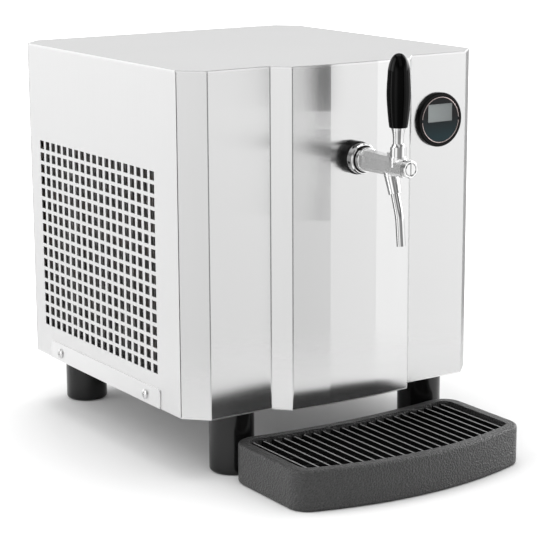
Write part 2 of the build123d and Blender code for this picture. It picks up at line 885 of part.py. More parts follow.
ledge_z = tray_height - grille_recess - grille_thickness
with BuildPart() as drip_tray:
    with BuildSketch():
        add(tray_plan.sketch)
    extrude(amount=tray_height)
    fillet(drip_tray.edges().group_by(Axis.Z)[-1], tray_edge)
    fillet(drip_tray.edges().group_by(Axis.Z)[0], tray_edge)
    with BuildSketch(Plane.XY.offset(ledge_z)):
        add(tray_plan.sketch)
        offset(amount=-tray_rim, mode=Mode.REPLACE)
    extrude(amount=tray_height, mode=Mode.SUBTRACT)
    with BuildSketch(Plane.XY.offset(tray_floor)):
        add(tray_plan.sketch)
        offset(amount=-tray_rim - tray_ledge, mode=Mode.REPLACE)
    extrude(amount=tray_height, mode=Mode.SUBTRACT)
save(drip_tray, "drip_tray")

with BuildSketch() as grille_plan:
    add(tray_plan.sketch)
    offset(amount=-tray_rim - grille_clearance, mode=Mode.REPLACE)

slat_count = int((tray_width - 2 * tray_rim) / slat_pitch)
rib_pitch = (tray_depth - 2 * tray_rim) / (rib_count + 1)
grille_middle_y = (tray_back_y + tray_front_y + tray_front_bow) / 2
with BuildPart() as drip_grille:
    with BuildSketch(Plane.XY.offset(ledge_z)):
        with Locations((0, grille_middle_y)):
            with GridLocations(slat_pitch, 1, slat_count, 1):
                Rectangle(slat_width, 2 * tray_depth)
        add(grille_plan.sketch, mode=Mode.INTERSECT)
    extrude(amount=grille_thickness)
    with BuildSketch(Plane.XY.offset(ledge_z)):
        with Locations((0, grille_middle_y)):
            with GridLocations(1, rib_pitch, 1, rib_count):
                Rectangle(tray_width, rib_width)
        add(grille_plan.sketch, mode=Mode.INTERSECT)
    extrude(amount=rib_height)
    with BuildSketch(Plane.XY.offset(ledge_z)):
        add(grille_plan.sketch)
        offset(amount=-grille_frame, mode=Mode.SUBTRACT)
    extrude(amount=rib_height)
save(drip_grille, "drip_grille")

# Condenser: plate fins on a serpentine tube, held by the flanges of the fan shroud
condenser_x = -side_x + condenser_inset
condenser_half = body_depth / 2 - condenser_end_room
fin_count = int(2 * condenser_half / fin_pitch)
run_places = [
    vent_z + condenser_run_pitch * (step - (condenser_runs - 1) / 2) for step in range(condenser_runs)
]
tube_hole = condenser_tube_radius + tube_clearance
first_fin_y = vent_y - fin_pitch * (fin_count - 1) / 2
fin_planes = [Plane.XZ.offset(-first_fin_y - step * fin_pitch) for step in range(fin_count)]
with BuildPart() as condenser_fins:
    with BuildSketch(*fin_planes):
        with Locations((condenser_x, vent_z)):
            Rectangle(condenser_depth, condenser_height)
        with Locations(*[(condenser_x, z) for z in run_places]):
            Circle(tube_hole, mode=Mode.SUBTRACT)
    extrude(amount=fin_thickness)
save(condenser_fins, "condenser_fins")

flange_half = condenser_half + shroud_flange_gap
bend_half = flange_half + condenser_bend_room
condenser_end_y = vent_y + bend_half + line_radius
condenser_route = [(condenser_x, condenser_end_y, run_places[-1])]
for step, run_z in enumerate(reversed(run_places)):
    heading = 1 if step % 2 else -1
    if step > 0:
        condenser_route.append((condenser_x, vent_y - heading * bend_half, run_z))
    condenser_route.append((condenser_x, vent_y + heading * bend_half, run_z))
condenser_route[-1] = (condenser_x, condenser_end_y, run_places[0])
condenser_tube = bent_tube(
    condenser_route,
    condenser_run_pitch / 2 - seam,
    condenser_tube_radius,
    condenser_tube_radius - line_wall,
)
save(condenser_tube, "condenser_tube")

shroud_x = condenser_x + condenser_depth / 2 + shroud_gap
shroud_edge_x = condenser_x - condenser_depth / 2
with BuildPart() as fan_shroud:
    with BuildSketch(Plane.YZ.offset(shroud_x)):
        with Locations((vent_y, floor_z)):
            Rectangle(2 * flange_half, shroud_height, align=(Align.CENTER, Align.MIN))
        with Locations((vent_y, vent_z)):
            Circle(fan_opening_radius, mode=Mode.SUBTRACT)
    extrude(amount=bracket_sheet)
    for side in (-1, 1):
        with BuildSketch(Plane.XZ.offset(-vent_y - side * (flange_half - sheet / 2) + sheet / 2)):
            with Locations(((shroud_edge_x + shroud_x) / 2, floor_z)):
                Rectangle(shroud_x - shroud_edge_x, shroud_height, align=(Align.CENTER, Align.MIN))
            with Locations(*[(condenser_x, z) for z in run_places]):
                Circle(tube_hole, mode=Mode.SUBTRACT)
        extrude(amount=-sheet)
save(fan_shroud, "fan_shroud")

# Fan: U bracket on the shroud, motor on the bracket, rotor on the motor's shaft
shroud_inner_x = shroud_x + bracket_sheet
hub_start_x = shroud_inner_x + fan_gap - fan_hub_length / 2
hub_end_x = hub_start_x + fan_hub_length
motor_start_x = hub_end_x + fan_gap / 2
bracket_x = motor_start_x + motor_length
with BuildPart() as fan_bracket:
    with BuildSketch(Plane.YZ.offset(bracket_x)):
        with Locations((vent_y, vent_z)):
            Rectangle(bracket_width, 2 * bracket_half_height)
            Circle(motor_boss_radius + tube_clearance, mode=Mode.SUBTRACT)
    extrude(amount=bracket_sheet)
    for side in (-1, 1):
        leg_z = vent_z + side * (bracket_half_height - bracket_sheet / 2) - bracket_sheet / 2
        with BuildSketch(Plane.XY.offset(leg_z)):
            with Locations((shroud_inner_x, vent_y)):
                Rectangle(
                    bracket_x - shroud_inner_x, bracket_width, align=(Align.MIN, Align.CENTER)
                )
        extrude(amount=bracket_sheet)
save(fan_bracket, "fan_bracket")

with BuildPart() as fan_motor:
    with BuildSketch(Plane.YZ.offset(motor_start_x)):
        with Locations((vent_y, vent_z)):
            Circle(motor_radius)
    extrude(amount=motor_length)
    fillet(fan_motor.edges(), motor_edge)
    with BuildSketch(Plane.YZ.offset(hub_start_x)):
        with Locations((vent_y, vent_z)):
            Circle(motor_shaft_radius)
    extrude(amount=motor_start_x + motor_length / 2 - hub_start_x)
    with BuildSketch(Plane.YZ.offset(bracket_x)):
        with Locations((vent_y, vent_z)):
            Circle(motor_boss_radius)
    extrude(amount=motor_boss_length)
save(fan_motor, "fan_motor")

fan_centre = Vector((hub_start_x + hub_end_x) / 2, vent_y, vent_z)
with BuildPart() as fan_rotor:
    with BuildSketch(Plane.YZ.offset(hub_start_x)):
        with Locations((vent_y, vent_z)):
            Circle(fan_hub_radius)
    extrude(amount=fan_hub_length)
    for blade in range(blade_count):
        turn = radians(360 / blade_count * blade)
        outward = Vector(0, cos(turn), sin(turn))
        around = Vector(0, -sin(turn), cos(turn))
        blade_normal = Vector(cos(radians(blade_pitch)), 0, 0) + around * sin(radians(blade_pitch))
        with BuildSketch(Plane(origin=fan_centre, x_dir=outward, z_dir=blade_normal)):
            with BuildLine():
                Polyline(
                    (fan_hub_radius / 2, -blade_root_chord / 2),
                    (blade_heel, -blade_tip_chord / 2),
                    (fan_radius, -blade_tip_chord / 4),
                    (blade_toe, blade_tip_chord / 2),
                    (fan_hub_radius / 2, blade_root_chord / 2),
                    close=True,
                )
            make_face()
        extrude(amount=blade_thickness / 2, both=True)
    with BuildSketch(Plane.YZ.offset(hub_start_x - fan_hub_length)):
        with Locations((vent_y, vent_z)):
            Circle(motor_shaft_radius + shaft_clearance)
    extrude(amount=3 * fan_hub_length, mode=Mode.SUBTRACT)
save(fan_rotor, "fan_rotor")

# Beverage coil: one tube from the shank through the front of the cold block to the inlet hose
block_front_y = front_y + cold_setback
block_back_y = block_front_y + block_depth
block_middle_y = block_front_y + block_depth / 2
coil_left_x = cold_x - block_width / 2 + coil_side_room
coil_right_x = cold_x + block_width / 2 - coil_side_room
coil_bottom_z = tap_z - (coil_runs - 1) * coil_pitch
coil_bend = coil_pitch / 2 - seam
insulation_left_x = cold_x - block_width / 2 - insulation_wall
insulation_right_x = cold_x + block_width / 2 + insulation_wall
coil_end_x = insulation_right_x + hose_radius
coil_start_y = crown_y + shank_tail - shank_radius / 2


def serpentine(y, top_z, runs):
    points = []
    for run in range(runs):
        ends = (coil_left_x, coil_right_x) if run % 2 == 0 else (coil_right_x, coil_left_x)
        points += [(x, y, top_z - run * coil_pitch) for x in ends]
    return points


coil_route = [(coil_left_x, coil_start_y, tap_z)] + serpentine(block_front_y, tap_z, coil_runs)
coil_route[-1] = (coil_end_x, block_front_y, coil_bottom_z)
beverage_coil = bent_tube(coil_route, coil_bend, coil_radius, coil_radius - coil_wall)
coil_groove = bent_tube(coil_route, coil_bend, coil_radius + tube_clearance)
save(beverage_coil, "beverage_coil")

# Evaporator tube in the back of the cold block
evaporator_top_z = tap_z - coil_pitch / 2
evaporator_bottom_z = evaporator_top_z - (evaporator_runs - 1) * coil_pitch
evaporator_end_x = insulation_left_x - line_radius
evaporator_route = serpentine(block_back_y, evaporator_top_z, evaporator_runs)
evaporator_route[0] = (evaporator_end_x, block_back_y, evaporator_top_z)
evaporator_route[-1] = (evaporator_end_x, block_back_y, evaporator_bottom_z)
evaporator_tube = bent_tube(
    evaporator_route, coil_bend, evaporator_radius, evaporator_radius - line_wall
)
evaporator_groove = bent_tube(evaporator_route, coil_bend, evaporator_radius + tube_clearance)
save(evaporator_tube, "evaporator_tube")

block_top_z = tap_z + coil_end_room
block_bottom_z = coil_bottom_z - coil_end_room
probe_bottom_z = block_top_z - probe_depth
probe_top_z = block_top_z + insulation_wall + probe_stand
probe_plane = Plane(origin=(cold_x, block_middle_y, probe_bottom_z), z_dir=(0, 0, 1))
with BuildPart() as cold_block:
    with BuildSketch(Plane.XY.offset(block_bottom_z)):
        with Locations((cold_x, block_middle_y)):
            Rectangle(block_width, block_depth)
    extrude(amount=block_top_z - block_bottom_z)
    with BuildSketch(probe_plane):
        Circle(probe_radius + tube_clearance)
    extrude(amount=probe_depth, mode=Mode.SUBTRACT)
    add(coil_groove.part, mode=Mode.SUBTRACT)
    add(evaporator_groove.part, mode=Mode.SUBTRACT)
save(cold_block, "cold_block")

with BuildPart() as temperature_probe:
    with BuildSketch(probe_plane):
        Circle(probe_radius)
    extrude(amount=probe_top_z - probe_bottom_z)
save(temperature_probe, "temperature_probe")

# Insulation: two foam halves that meet in the middle of the block and stand on the base
insulation_width = block_width + 2 * insulation_wall
cavity_width = block_width + 2 * insulation_clearance
cavity_height = block_top_z - block_bottom_z + insulation_clearance
cavity_half_depth = block_depth / 2 + coil_radius + 2 * tube_clearance
for half, facing in (("front", -1), ("rear", 1)):
    half_plane = Plane(
        origin=(cold_x, block_middle_y, floor_z), x_dir=(1, 0, 0), z_dir=(0, facing, 0)
    )
    up = -facing
    with BuildPart() as insulation:
        with BuildSketch(half_plane):
            with Locations((0, up * (block_top_z + insulation_wall - floor_z) / 2)):
                Rectangle(insulation_width, block_top_z + insulation_wall - floor_z)
        extrude(amount=cavity_half_depth + insulation_wall)
        with BuildSketch(half_plane):
            with Locations((0, up * (block_bottom_z + cavity_height / 2 - floor_z))):
                Rectangle(cavity_width, cavity_height)
        extrude(amount=cavity_half_depth, mode=Mode.SUBTRACT)
        with BuildSketch(probe_plane):
            Circle(probe_radius + tube_clearance)
        extrude(amount=probe_top_z - probe_bottom_z, mode=Mode.SUBTRACT)
        add(coil_groove.part, mode=Mode.SUBTRACT)
        add(evaporator_groove.part, mode=Mode.SUBTRACT)
    save(insulation, f"insulation_{half}")

# Hermetic compressor on rubber grommets, behind the cold block
insulation_back_y = block_middle_y + cavity_half_depth + insulation_wall
compressor_y = (insulation_back_y + rear_inside_y) / 2
foot_sheet_z = floor_z + grommet_height
shell_z = foot_sheet_z + compressor_foot_sheet
split_z = shell_z + compressor_split
grommet_grid = (compressor_foot_width - 3 * grommet_radius, compressor_foot_depth - 3 * grommet_radius)
suction_z = evaporator_bottom_z
discharge_z = shell_z + discharge_rise
suction_stub_x = compressor_x - compressor_radius - stub_length
discharge_y = compressor_y + discharge_offset
inner_radius = compressor_radius - compressor_wall
with BuildPart() as compressor_shell:
    with BuildSketch(Plane.XY.offset(foot_sheet_z)):
        with Locations((compressor_x, compressor_y)):
            Rectangle(compressor_foot_width, compressor_foot_depth)
            with GridLocations(*grommet_grid, 2, 2):
                Circle(grommet_hole, mode=Mode.SUBTRACT)
    extrude(amount=compressor_foot_sheet)
    with BuildSketch(Plane.XY.offset(shell_z)):
        with Locations((compressor_x, compressor_y)):
            Circle(compressor_radius)
    extrude(amount=compressor_split)
    with BuildSketch(Plane.YZ.offset(suction_stub_x)):
        with Locations((compressor_y, suction_z)):
            Circle(line_radius)
    extrude(amount=compressor_radius)
    with BuildSketch(Plane.XY.offset(shell_z)):
        with Locations((compressor_x, compressor_y)):
            Circle(inner_radius)
    extrude(amount=compressor_split, mode=Mode.SUBTRACT)
save(compressor_shell, "compressor_shell")

discharge_wall_x = compressor_x - sqrt(compressor_radius**2 - discharge_offset**2)
with BuildPart() as compressor_cap:
    with BuildSketch(Plane.XY.offset(split_z)):
        with Locations((compressor_x, compressor_y)):
            Circle(compressor_radius)
    extrude(amount=compressor_height - compressor_split)
    fillet(compressor_cap.edges().group_by(Axis.Z)[-1], compressor_dome)
    offset(amount=-compressor_wall, openings=compressor_cap.faces().sort_by(Axis.Z)[0])
    with BuildSketch(Plane.YZ.offset(suction_stub_x)):
        with Locations((discharge_y, discharge_z)):
            Circle(line_radius)
    extrude(amount=discharge_wall_x + compressor_wall - suction_stub_x)
save(compressor_cap, "compressor_cap")

with BuildPart() as compressor_grommets:
    with BuildSketch(Plane.XY.offset(floor_z)):
        with Locations((compressor_x, compressor_y)):
            with GridLocations(*grommet_grid, 2, 2):
                Circle(grommet_radius)
    extrude(amount=grommet_height)
    with BuildSketch(Plane.XY.offset(foot_sheet_z)):
        with Locations((compressor_x, compressor_y)):
            with GridLocations(*grommet_grid, 2, 2):
                Circle(grommet_hole - tube_clearance)
    extrude(amount=2 * compressor_foot_sheet)
save(compressor_grommets, "compressor_grommets")

terminal_z = shell_z + compressor_split / 2
with BuildPart() as terminal_cover:
    with BuildSketch(Plane.XY.offset(terminal_z - terminal_height / 2)):
        with Locations((compressor_x, compressor_y)):
            Rectangle(
                terminal_width,
                compressor_radius + terminal_depth,
                align=(Align.CENTER, Align.MIN),
            )
            Circle(compressor_radius + tube_clearance, mode=Mode.SUBTRACT)
    extrude(amount=terminal_height)
    fillet(terminal_cover.faces().sort_by(Axis.Y)[-1].edges(), line_radius)
save(terminal_cover, "terminal_cover")

# Refrigerant lines: discharge to the condenser, liquid to the drier, capillary and suction
line_bore = line_radius - line_wall
line_behind_y = condenser_end_y + line_stand
discharge_turn_x = bracket_x - 2 * line_bend
discharge_line = bent_tube(
    [
        (suction_stub_x, discharge_y, discharge_z),
        (discharge_turn_x, discharge_y, discharge_z),
        (discharge_turn_x, line_behind_y, discharge_z),
        (discharge_turn_x, line_behind_y, run_places[-1]),
        (condenser_x, line_behind_y, run_places[-1]),
        (condenser_x, condenser_end_y, run_places[-1]),
    ],
    line_bend,
    line_radius,
    line_bore,
)
save(discharge_line, "discharge_line")

drier_y = vent_y + line_bend
drier_bottom_z = suction_z + 4 * line_bend
drier_top_z = drier_bottom_z + drier_length
liquid_line = bent_tube(
    [
        (condenser_x, condenser_end_y, run_places[0]),
        (condenser_x, line_behind_y, run_places[0]),
        (drier_x, line_behind_y, run_places[0]),
        (drier_x, drier_y, run_places[0]),
        (drier_x, drier_y, drier_bottom_z),
    ],
    line_bend,
    liquid_line_radius,
    liquid_line_radius - line_wall,
)
save(liquid_line, "liquid_line")

with BuildPart() as filter_drier:
    with BuildSketch(Plane(origin=(drier_x, drier_y, drier_bottom_z), x_dir=(1, 0, 0), z_dir=(0, -1, 0))):
        with BuildLine():
            Polyline(
                (0, 0),
                (liquid_line_radius, 0),
                (drier_radius, drier_taper),
                (drier_radius, drier_length - drier_taper),
                (liquid_line_radius, drier_length),
                (0, drier_length),
                close=True,
            )
        make_face()
    revolve(axis=Axis((drier_x, drier_y, 0), (0, 0, 1)))
save(filter_drier, "filter_drier")

capillary_tube = bent_tube(
    [
        (drier_x, drier_y, drier_top_z),
        (drier_x, drier_y, evaporator_top_z),
        (drier_x, block_back_y, evaporator_top_z),
        (evaporator_end_x, block_back_y, evaporator_top_z),
    ],
    line_radius,
    capillary_radius,
)
save(capillary_tube, "capillary_tube")

suction_line = bent_tube(
    [
        (evaporator_end_x, block_back_y, evaporator_bottom_z),
        (suction_x, block_back_y, evaporator_bottom_z),
        (suction_x, compressor_y, suction_z),
        (suction_stub_x, compressor_y, suction_z),
    ],
    line_bend,
    line_radius,
    line_bore,
)
save(suction_line, "suction_line")


# Drink inlet through the rear panel, its nut, and the hose to the coil
def rear_plane(x, z, distance):
    return Plane(origin=(x, back_y + distance, z), x_dir=(-1, 0, 0), z_dir=(0, 1, 0))


barb_start = sheet + inlet_inner_thread
with BuildPart() as inlet_fitting:
    with BuildSketch(rear_plane(inlet_x, inlet_z, 0)):
        Circle(inlet_flange_radius)
    extrude(amount=inlet_flange)
    with BuildSketch(rear_plane(inlet_x, inlet_z, -barb_start)):
        Circle(inlet_thread_radius)
    extrude(amount=barb_start + fitting_reach)
    with BuildSketch(rear_plane(inlet_x, inlet_z, -barb_start)):
        Circle(inlet_barb_radius)
    extrude(amount=-inlet_barb_length)
    with BuildSketch(rear_plane(inlet_x, inlet_z, fitting_reach)):
        Circle(inlet_bore_radius)
    extrude(amount=-fitting_reach - barb_start - inlet_barb_length, mode=Mode.SUBTRACT)
save(inlet_fitting, "inlet_fitting")

with BuildPart() as inlet_nut:
    with BuildSketch(rear_plane(inlet_x, inlet_z, -sheet)):
        RegularPolygon(inlet_flange_radius + sheet, 6)
        Circle(inlet_thread_radius + thread_clearance, mode=Mode.SUBTRACT)
    extrude(amount=-inlet_nut_length)
save(inlet_nut, "inlet_nut")

hose_x = side_x - hose_side_gap
hose_start_y = back_y - barb_start
hose_turn_y = hose_start_y - inlet_barb_length - hose_bend
hose_end_x = coil_end_x - hose_radius + line_wall
inlet_hose = bent_tube(
    [
        (inlet_x, hose_start_y, inlet_z),
        (inlet_x, hose_turn_y, inlet_z),
        (hose_x, hose_turn_y, inlet_z - hose_bend),
        (hose_x, hose_turn_y, coil_bottom_z),
        (hose_x, block_front_y, coil_bottom_z),
        (hose_end_x, block_front_y, coil_bottom_z),
    ],
    hose_turn,
    hose_radius,
    hose_bore_radius,
)
save(inlet_hose, "inlet_hose")

# Control box, open towards the rear panel, round the switch and the power inlet
box_bottom_z = foot_height + box_rise
with BuildPart() as control_box:
    with BuildSketch(rear_plane(box_x, box_bottom_z + box_height / 2, -sheet)):
        Rectangle(box_width, box_height)
    extrude(amount=-box_depth)
    with BuildSketch(rear_plane(box_x, box_bottom_z + box_height / 2, -sheet)):
        Rectangle(box_width - 2 * box_wall, box_height - 2 * box_wall)
    extrude(amount=box_wall - box_depth, mode=Mode.SUBTRACT)
save(control_box, "control_box")

with BuildPart() as power_inlet:
    with BuildSketch(rear_plane(gland_x, gland_z, 0)):
        RegularPolygon(gland_hex_radius, 6)
    extrude(amount=gland_hex_length)
    with BuildSketch(rear_plane(gland_x, gland_z, gland_hex_length)):
        Circle(gland_dome_radius)
    extrude(amount=gland_dome_length)
    fillet(power_inlet.edges().group_by(Axis.Y)[-1], gland_dome_radius / 3)
    with BuildSketch(rear_plane(gland_x, gland_z, 0)):
        Circle(gland_thread_radius)
    extrude(amount=-gland_thread_length)
    with BuildSketch(rear_plane(gland_x, gland_z, gland_hex_length + gland_dome_length)):
        Circle(gland_bore_radius)
    extrude(amount=-gland_hex_length - gland_dome_length - gland_thread_length, mode=Mode.SUBTRACT)
save(power_inlet, "power_inlet")

pocket_width = rocker_width + 2 * rocker_play / 3
pocket_height = 2 * (rocker_half_height + rocker_play)
pocket_depth = switch_depth - 2 * box_wall
pivot_y = back_y + switch_bezel - rocker_sink
with BuildPart() as switch_frame:
    with BuildSketch(rear_plane(switch_x, switch_z, 0)):
        Rectangle(switch_width, switch_height)
    extrude(amount=switch_bezel)
    with BuildSketch(rear_plane(switch_x, switch_z, 0)):
        Rectangle(switch_body_width, switch_body_height)
    extrude(amount=-switch_depth)
    with BuildSketch(rear_plane(switch_x, switch_z, switch_bezel)):
        Rectangle(pocket_width, pocket_height)
    extrude(amount=-switch_bezel - pocket_depth, mode=Mode.SUBTRACT)
    with BuildSketch(Plane.YZ.offset(switch_x - rocker_width / 2 - trunnion_length)):
        with Locations((pivot_y, switch_z)):
            Circle(trunnion_radius + shaft_clearance)
    extrude(amount=rocker_width + 2 * trunnion_length, mode=Mode.SUBTRACT)
save(switch_frame, "switch_frame")

tilt = radians(-rocker_tilt)
rocker_plane = Plane(
    origin=(switch_x - rocker_width / 2, pivot_y, switch_z),
    x_dir=(0, cos(tilt), sin(tilt)),
    z_dir=(1, 0, 0),
)
trunnion_reach = trunnion_length - shaft_clearance
with BuildPart() as switch_rocker:
    with BuildSketch(rocker_plane):
        with BuildLine():
            Polyline(
                (rocker_crest, -rocker_half_height),
                (rocker_valley, 0),
                (rocker_crest, rocker_half_height),
                (-rocker_back, rocker_half_height - rocker_play),
                (-rocker_back, rocker_play - rocker_half_height),
                close=True,
            )
        make_face()
    extrude(amount=rocker_width)
    with BuildSketch(rocker_plane.offset(-trunnion_reach)):
        Circle(trunnion_radius)
    extrude(amount=rocker_width + 2 * trunnion_reach)
save(switch_rocker, "switch_rocker")

# Wiring: probe to display, control box to fan, control box to compressor, one round lead each
box_front_y = rear_inside_y - box_depth
box_left_x = box_x - box_width / 2
motor_middle_x = motor_start_x + motor_length / 2
wire_top_z = probe_top_z + 2 * wire_bend
lead_drop_y = front_y + barrel_length + 2 * wire_bend
wire_side_y = (box_front_y + rear_inside_y) / 2
compressor_wire_x = compressor_x - terminal_width / 4
compressor_wire_y = compressor_y + compressor_radius + terminal_depth / 2
probe_lead = bent_tube(
    [
        (cold_x, block_middle_y, probe_top_z),
        (cold_x, block_middle_y, wire_top_z),
        (display_x, block_middle_y, wire_top_z),
        (display_x, lead_drop_y, wire_top_z),
        (display_x, lead_drop_y, display_z),
        (display_x, front_y + barrel_length, display_z),
    ],
    wire_bend,
    wire_radius,
)
fan_lead = bent_tube(
    [
        (box_left_x, wire_side_y, box_bottom_z + box_height / 3),
        (motor_middle_x, wire_side_y, box_bottom_z + box_height / 3),
        (motor_middle_x, wire_side_y, vent_z),
        (motor_middle_x, vent_y + motor_radius + tube_clearance, vent_z),
    ],
    wire_bend,
    wire_radius,
)
with BuildPart() as wiring_loom:
    add(probe_lead.part)
    add(fan_lead.part)
    with BuildSketch(Plane.XY.offset(box_bottom_z)):
        with Locations((compressor_wire_x, compressor_wire_y)):
            Circle(wire_radius)
    extrude(amount=terminal_z + terminal_height / 2 - box_bottom_z)
save(wiring_loom, "wiring_loom")
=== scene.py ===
import json
import math

import bpy
from mathutils import Matrix, Vector


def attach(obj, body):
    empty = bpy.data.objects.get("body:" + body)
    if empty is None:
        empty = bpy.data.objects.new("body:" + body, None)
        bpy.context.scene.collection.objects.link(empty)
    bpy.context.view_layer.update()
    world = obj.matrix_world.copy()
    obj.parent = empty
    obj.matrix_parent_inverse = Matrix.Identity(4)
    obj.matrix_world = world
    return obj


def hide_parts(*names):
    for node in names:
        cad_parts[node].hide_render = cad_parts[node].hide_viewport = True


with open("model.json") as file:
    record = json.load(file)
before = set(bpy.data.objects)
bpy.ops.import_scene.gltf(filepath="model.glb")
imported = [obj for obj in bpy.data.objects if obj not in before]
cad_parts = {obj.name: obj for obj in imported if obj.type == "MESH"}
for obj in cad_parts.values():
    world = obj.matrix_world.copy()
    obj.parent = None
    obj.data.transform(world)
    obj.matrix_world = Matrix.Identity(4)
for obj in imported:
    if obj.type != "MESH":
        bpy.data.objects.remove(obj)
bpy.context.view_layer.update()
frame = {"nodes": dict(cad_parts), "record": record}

nodes = frame["nodes"]
scene = bpy.context.scene

# Places on the chiller, in metres, as in the part's own source
back_y = 0.257
screw_z = 0.0773
flange_x = 0.1912
flange_screw_y = (-0.03155, 0.16995)
rear_screw_x = (-0.12, 0.12)
rear_screw_z = (screw_z, 0.4266)
tap_z = 0.336
nut_radius = 0.0164
nut_front_y = -0.171
nut_hole_y = -0.1652
nut_hole_radius = 0.0016
shoulder_radius = 0.0134
barrel_start_y = -0.178
barrel_end_y = -0.244
barrel_half_height = 0.0107
display_place = Vector((0.129, -0.1345, 0.363))
inlet_place = Vector((0.146, 0.260, 0.338))
tray_back_y = -0.1425
tray_front_y = -0.289
grille_top_z = 0.041

# Edges of the painted shade and other marks on those pieces
nut_hole_shade_depth = 0.0005
seam_shade_depth = 0.0004
seam_shade_width = 0.0012
window_teal_end_z = display_place.z + 0.004
screen_shade_start_x = display_place.x - 0.017
thread_start = inlet_place + Vector((0, 0.003, 0))


class Value:
    """One output in a node tree. Arithmetic on it adds Math nodes."""

    def __init__(self, graph, socket):
        self.graph = graph
        self.socket = socket

    def __add__(self, other):
        return self.graph.math("ADD", self, other)

    __radd__ = __add__

    def __sub__(self, other):
        return self.graph.math("SUBTRACT", self, other)

    def __rsub__(self, other):
        return self.graph.math("SUBTRACT", other, self)

    def __mul__(self, other):
        return self.graph.math("MULTIPLY", self, other)

    def __truediv__(self, other):
        return self.graph.math("DIVIDE", self, other)

    def __pow__(self, other):
        return self.graph.math("POWER", self, other)

    def __gt__(self, other):
        return self.graph.math("GREATER_THAN", self, other)

    def __lt__(self, other):
        return self.graph.math("LESS_THAN", self, other)


class Graph:
    """A node tree that is filled node by node."""

    def __init__(self, tree):
        self.tree = tree

    def make(self, kind, settings, sockets, output=0):
        node = self.tree.nodes.new(kind)
        for name, value in settings.items():
            if name == "stops":
                self.set_stops(node.color_ramp, value)
            else:
                setattr(node, name, value)
        for name, value in sockets.items():
            self.feed(node.inputs[name], value)
        return Value(self, node.outputs[output])

    def set_stops(self, ramp, stops):
        while len(ramp.elements) > 1:
            ramp.elements.remove(ramp.elements[-1])
        for index, (position, colour) in enumerate(stops):
            stop = ramp.elements[0] if index == 0 else ramp.elements.new(position)
            stop.position = position
            stop.color = colour

    def feed(self, socket, value):
        """Links a value, or each value in a list, or sets a constant."""
        if isinstance(value, list):
            for item in value:
                self.feed(socket, item)
        elif isinstance(value, Value):
            self.tree.links.new(value.socket, socket)
        else:
            socket.default_value = value

    def end(self, kind, result):
        self.feed(self.tree.nodes.new(kind).inputs[0], result)

    def math(self, operation, first, second):
        return self.make("ShaderNodeMath", {"operation": operation}, {0: first, 1: second})

    def limited(self, value):
        return self.make("ShaderNodeClamp", {}, {"Value": value})

    def rise(self, value, start, slope):
        """Zero up to start, then climbing to one."""
        return self.limited((value - start) * slope)

    def fall(self, value, end, slope):
        """One, then dropping to zero at end."""
        return self.limited((end - value) * slope)

    def ranged(self, value, low, high):
        """A value from 0 to 1, spread from low to high."""
        return value * (high - low) + low

    def mixed(self, share, first, second):
        colours = {0: share, 6: first, 7: second}
        return self.make("ShaderNodeMix", {"data_type": "RGBA"}, colours, 2)

    def part_of(self, vector, letter):
        return self.make("ShaderNodeSeparateXYZ", {}, {0: vector}, letter)

    def object_place(self):
        return self.make("ShaderNodeTexCoord", {}, {}, "Object")

    def light_path(self, ray):
        return self.make("ShaderNodeLightPath", {}, {}, ray)


class Finish(Graph):
    """A material with one shader, whose sockets take constants or values."""

    def __init__(self, name, constants):
        self.material = bpy.data.materials.new(name)
        self.material.use_nodes = True
        super().__init__(self.material.node_tree)
        self.tree.nodes.clear()
        self.shader = self.tree.nodes.new("ShaderNodeBsdfPrincipled")
        self.end("ShaderNodeOutputMaterial", Value(self, self.shader.outputs[0]))
        for socket, value in constants.items():
            self.set(socket, value)

    def set(self, socket, value):
        self.feed(self.shader.inputs[socket], value)

    def axis(self, letter):
        return self.part_of(self.object_place(), letter)

    def stretched(self, scale):
        sockets = {"Vector": self.object_place(), "Scale": scale}
        return self.make("ShaderNodeMapping", {}, sockets)

    def noise(self, scale, detail, vector=None):
        sockets = {"Vector": vector or self.object_place(), "Scale": scale, "Detail": detail}
        return self.make("ShaderNodeTexNoise", {}, sockets)

    def cells(self, scale):
        sockets = {"Vector": self.object_place(), "Scale": scale}
        return self.make("ShaderNodeTexVoronoi", {"feature": "F1"}, sockets, "Distance")

    def bump(self, height, distance, strength=1.0):
        sockets = {"Height": height, "Distance": distance, "Strength": strength}
        self.set("Normal", self.make("ShaderNodeBump", {}, sockets, "Normal"))


def grey(level):
    return (level, level, level, 1.0)


def darker(colour, share):
    return (*(share * part for part in colour[:3]), 1.0)


def brushed_sheet(name, tone, roughness, anisotropy, streak, depth):
    """Sheet steel with fine streaks and broad clouds of tone."""
    finish = Finish(name, {"Metallic": 1.0, "Anisotropic": anisotropy})
    fine = finish.noise(scale=1.0, detail=3.0, vector=finish.stretched(streak))
    broad = finish.noise(scale=5.0, detail=1.0)
    shade = fine * 0.5 + broad * 0.5
    finish.set("Base Color", finish.mixed(shade, grey(tone * 0.95), grey(tone * 1.05)))
    finish.set("Roughness", finish.ranged(fine, roughness - 0.03, roughness + 0.03))
    finish.bump(fine, distance=depth)
    return finish.material


def polished_metal(name, colour, roughness, spread=0.03):
    """Bare or plated metal with faint clouds."""
    finish = Finish(name, {"Metallic": 1.0})
    cloud = finish.noise(scale=140.0, detail=3.0)
    finish.set("Base Color", finish.mixed(cloud, darker(colour, 0.93), colour))
    finish.set("Roughness", finish.ranged(cloud, roughness, roughness + spread))
    return finish.material


def moulded_plastic(name, level, roughness, spread=0.06, grain=500.0, depth=0.00001, gloss=0.5):
    """Plastic, rubber or enamel in one grey, with a fine grain."""
    finish = Finish(name, {"Metallic": 0.0, "Specular IOR Level": gloss})
    cloud = finish.noise(scale=grain, detail=2.0)
    finish.set("Base Color", finish.mixed(cloud, grey(level * 0.8), grey(level)))
    finish.set("Roughness", finish.ranged(cloud, roughness, roughness + spread))
    finish.bump(cloud, distance=depth, strength=0.5)
    return finish.material


